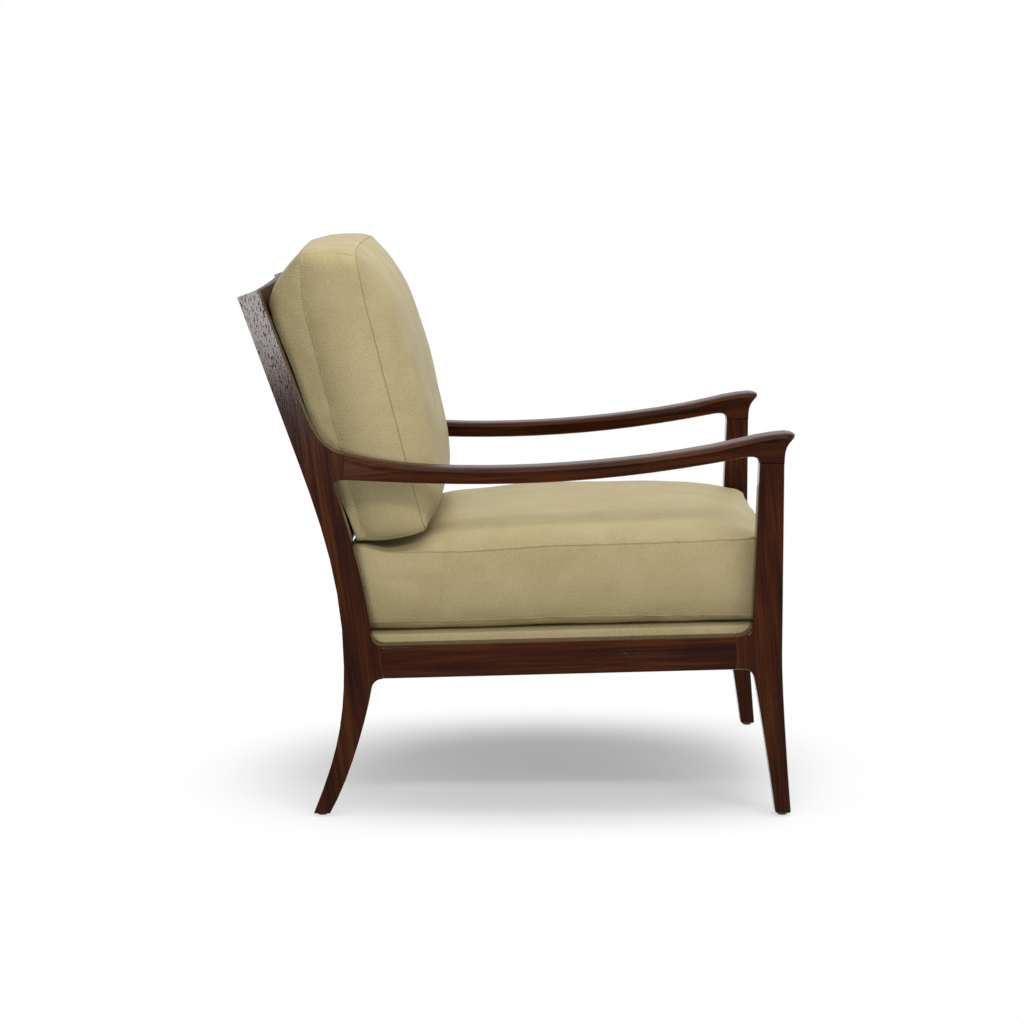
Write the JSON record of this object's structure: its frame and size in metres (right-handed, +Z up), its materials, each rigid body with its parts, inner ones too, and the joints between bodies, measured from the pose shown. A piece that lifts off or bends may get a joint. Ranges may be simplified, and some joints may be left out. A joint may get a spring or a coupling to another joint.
{
  "type": "lounge chair",
  "caption": "Lounge armchair with an open sculpted wooden frame, slatted back and loose boxed leather seat and back cushions.",
  "frame": {"origin": "on the floor, in the middle of the chair's width and depth", "axes": "+X towards the sitter's left, -Y towards the front, +Z up"},
  "size_m": [0.76, 0.8362, 0.8702],
  "materials": {
    "dark_wood": "satin, open grain, dark brown",
    "pale_wood": "raw beech",
    "leather": "khaki, fine grain, soft sheen",
    "foam": "cut upholstery foam",
    "webbing": "woven tape",
    "cambric": "thin black lining cloth",
    "screw_steel": "zinc plated",
    "zip_brass": "dull",
    "glide_plastic": "black, matte"
  },
  "bodies": {
    "frame": {"back_slat_1": "dark_wood", "back_slat_2": "dark_wood", "back_slat_3": "dark_wood", "back_slat_4": "dark_wood", "back_slat_5": "dark_wood", "back_slat_6": "dark_wood", "back_slat_7": "dark_wood", "crest_rail": "dark_wood", "deck_cover": "leather", "deck_pad": "foam", "dust_cover": "cambric", "front_deck_batten": "pale_wood", "front_left_block_screw": "screw_steel", "front_left_corner_block": "pale_wood", "front_left_deck_screw": "screw_steel", "front_rail": "dark_wood", "front_right_block_screw": "screw_steel", "front_right_corner_block": "pale_wood", "front_right_deck_screw": "screw_steel", "left_arm": "dark_wood", "left_arm_front_dowel": "pale_wood", "left_arm_rear_dowel": "pale_wood", "left_deck_batten": "pale_wood", "left_front_glide": "glide_plastic", "left_front_leg": "dark_wood", "left_rear_glide": "glide_plastic", "left_rear_leg": "dark_wood", "left_side_rail": "dark_wood", "lower_back_rail": "dark_wood", "rear_deck_batten": "pale_wood", "rear_left_block_screw": "screw_steel", "rear_left_corner_block": "pale_wood", "rear_left_deck_screw": "screw_steel", "rear_rail": "dark_wood", "rear_right_block_screw": "screw_steel", "rear_right_corner_block": "pale_wood", "rear_right_deck_screw": "screw_steel", "right_arm": "dark_wood", "right_arm_front_dowel": "pale_wood", "right_arm_rear_dowel": "pale_wood", "right_deck_batten": "pale_wood", "right_front_glide": "glide_plastic", "right_front_leg": "dark_wood", "right_rear_glide": "glide_plastic", "right_rear_leg": "dark_wood", "right_side_rail": "dark_wood", "webbing_strap_1": "webbing", "webbing_strap_2": "webbing", "webbing_strap_3": "webbing", "webbing_strap_4": "webbing", "webbing_strap_5": "webbing", "webbing_strap_6": "webbing"},
    "seat_cushion": {"seat_cushion_cover": "leather", "seat_cushion_core": "foam", "seat_cushion_zip": "webbing"},
    "back_cushion": {"back_cushion_cover": "leather", "back_cushion_core": "foam", "back_cushion_zip": "webbing"},
    "seat_zip": {"seat_zip_slider": "zip_brass"},
    "back_zip": {"back_zip_slider": "zip_brass"}
  },
  "joints": [
    {"name": "seat_cushion_slide", "type": "slide", "parent": "frame", "child": "seat_cushion", "axis": [0, -0.9997, 0.0262], "range_m": [0, 0.68]},
    {"name": "back_cushion_lift", "type": "slide", "parent": "frame", "child": "back_cushion", "axis": [0, 0.3503, 0.9366], "range_m": [0, 0.45]},
    {"name": "seat_zip_pull", "type": "slide", "parent": "seat_cushion", "child": "seat_zip", "axis": [1, 0, 0], "range_m": [0, 0.329]},
    {"name": "back_zip_pull", "type": "slide", "parent": "back_cushion", "child": "back_zip", "axis": [-1, 0, 0], "range_m": [0, 0.329]}
  ]
}
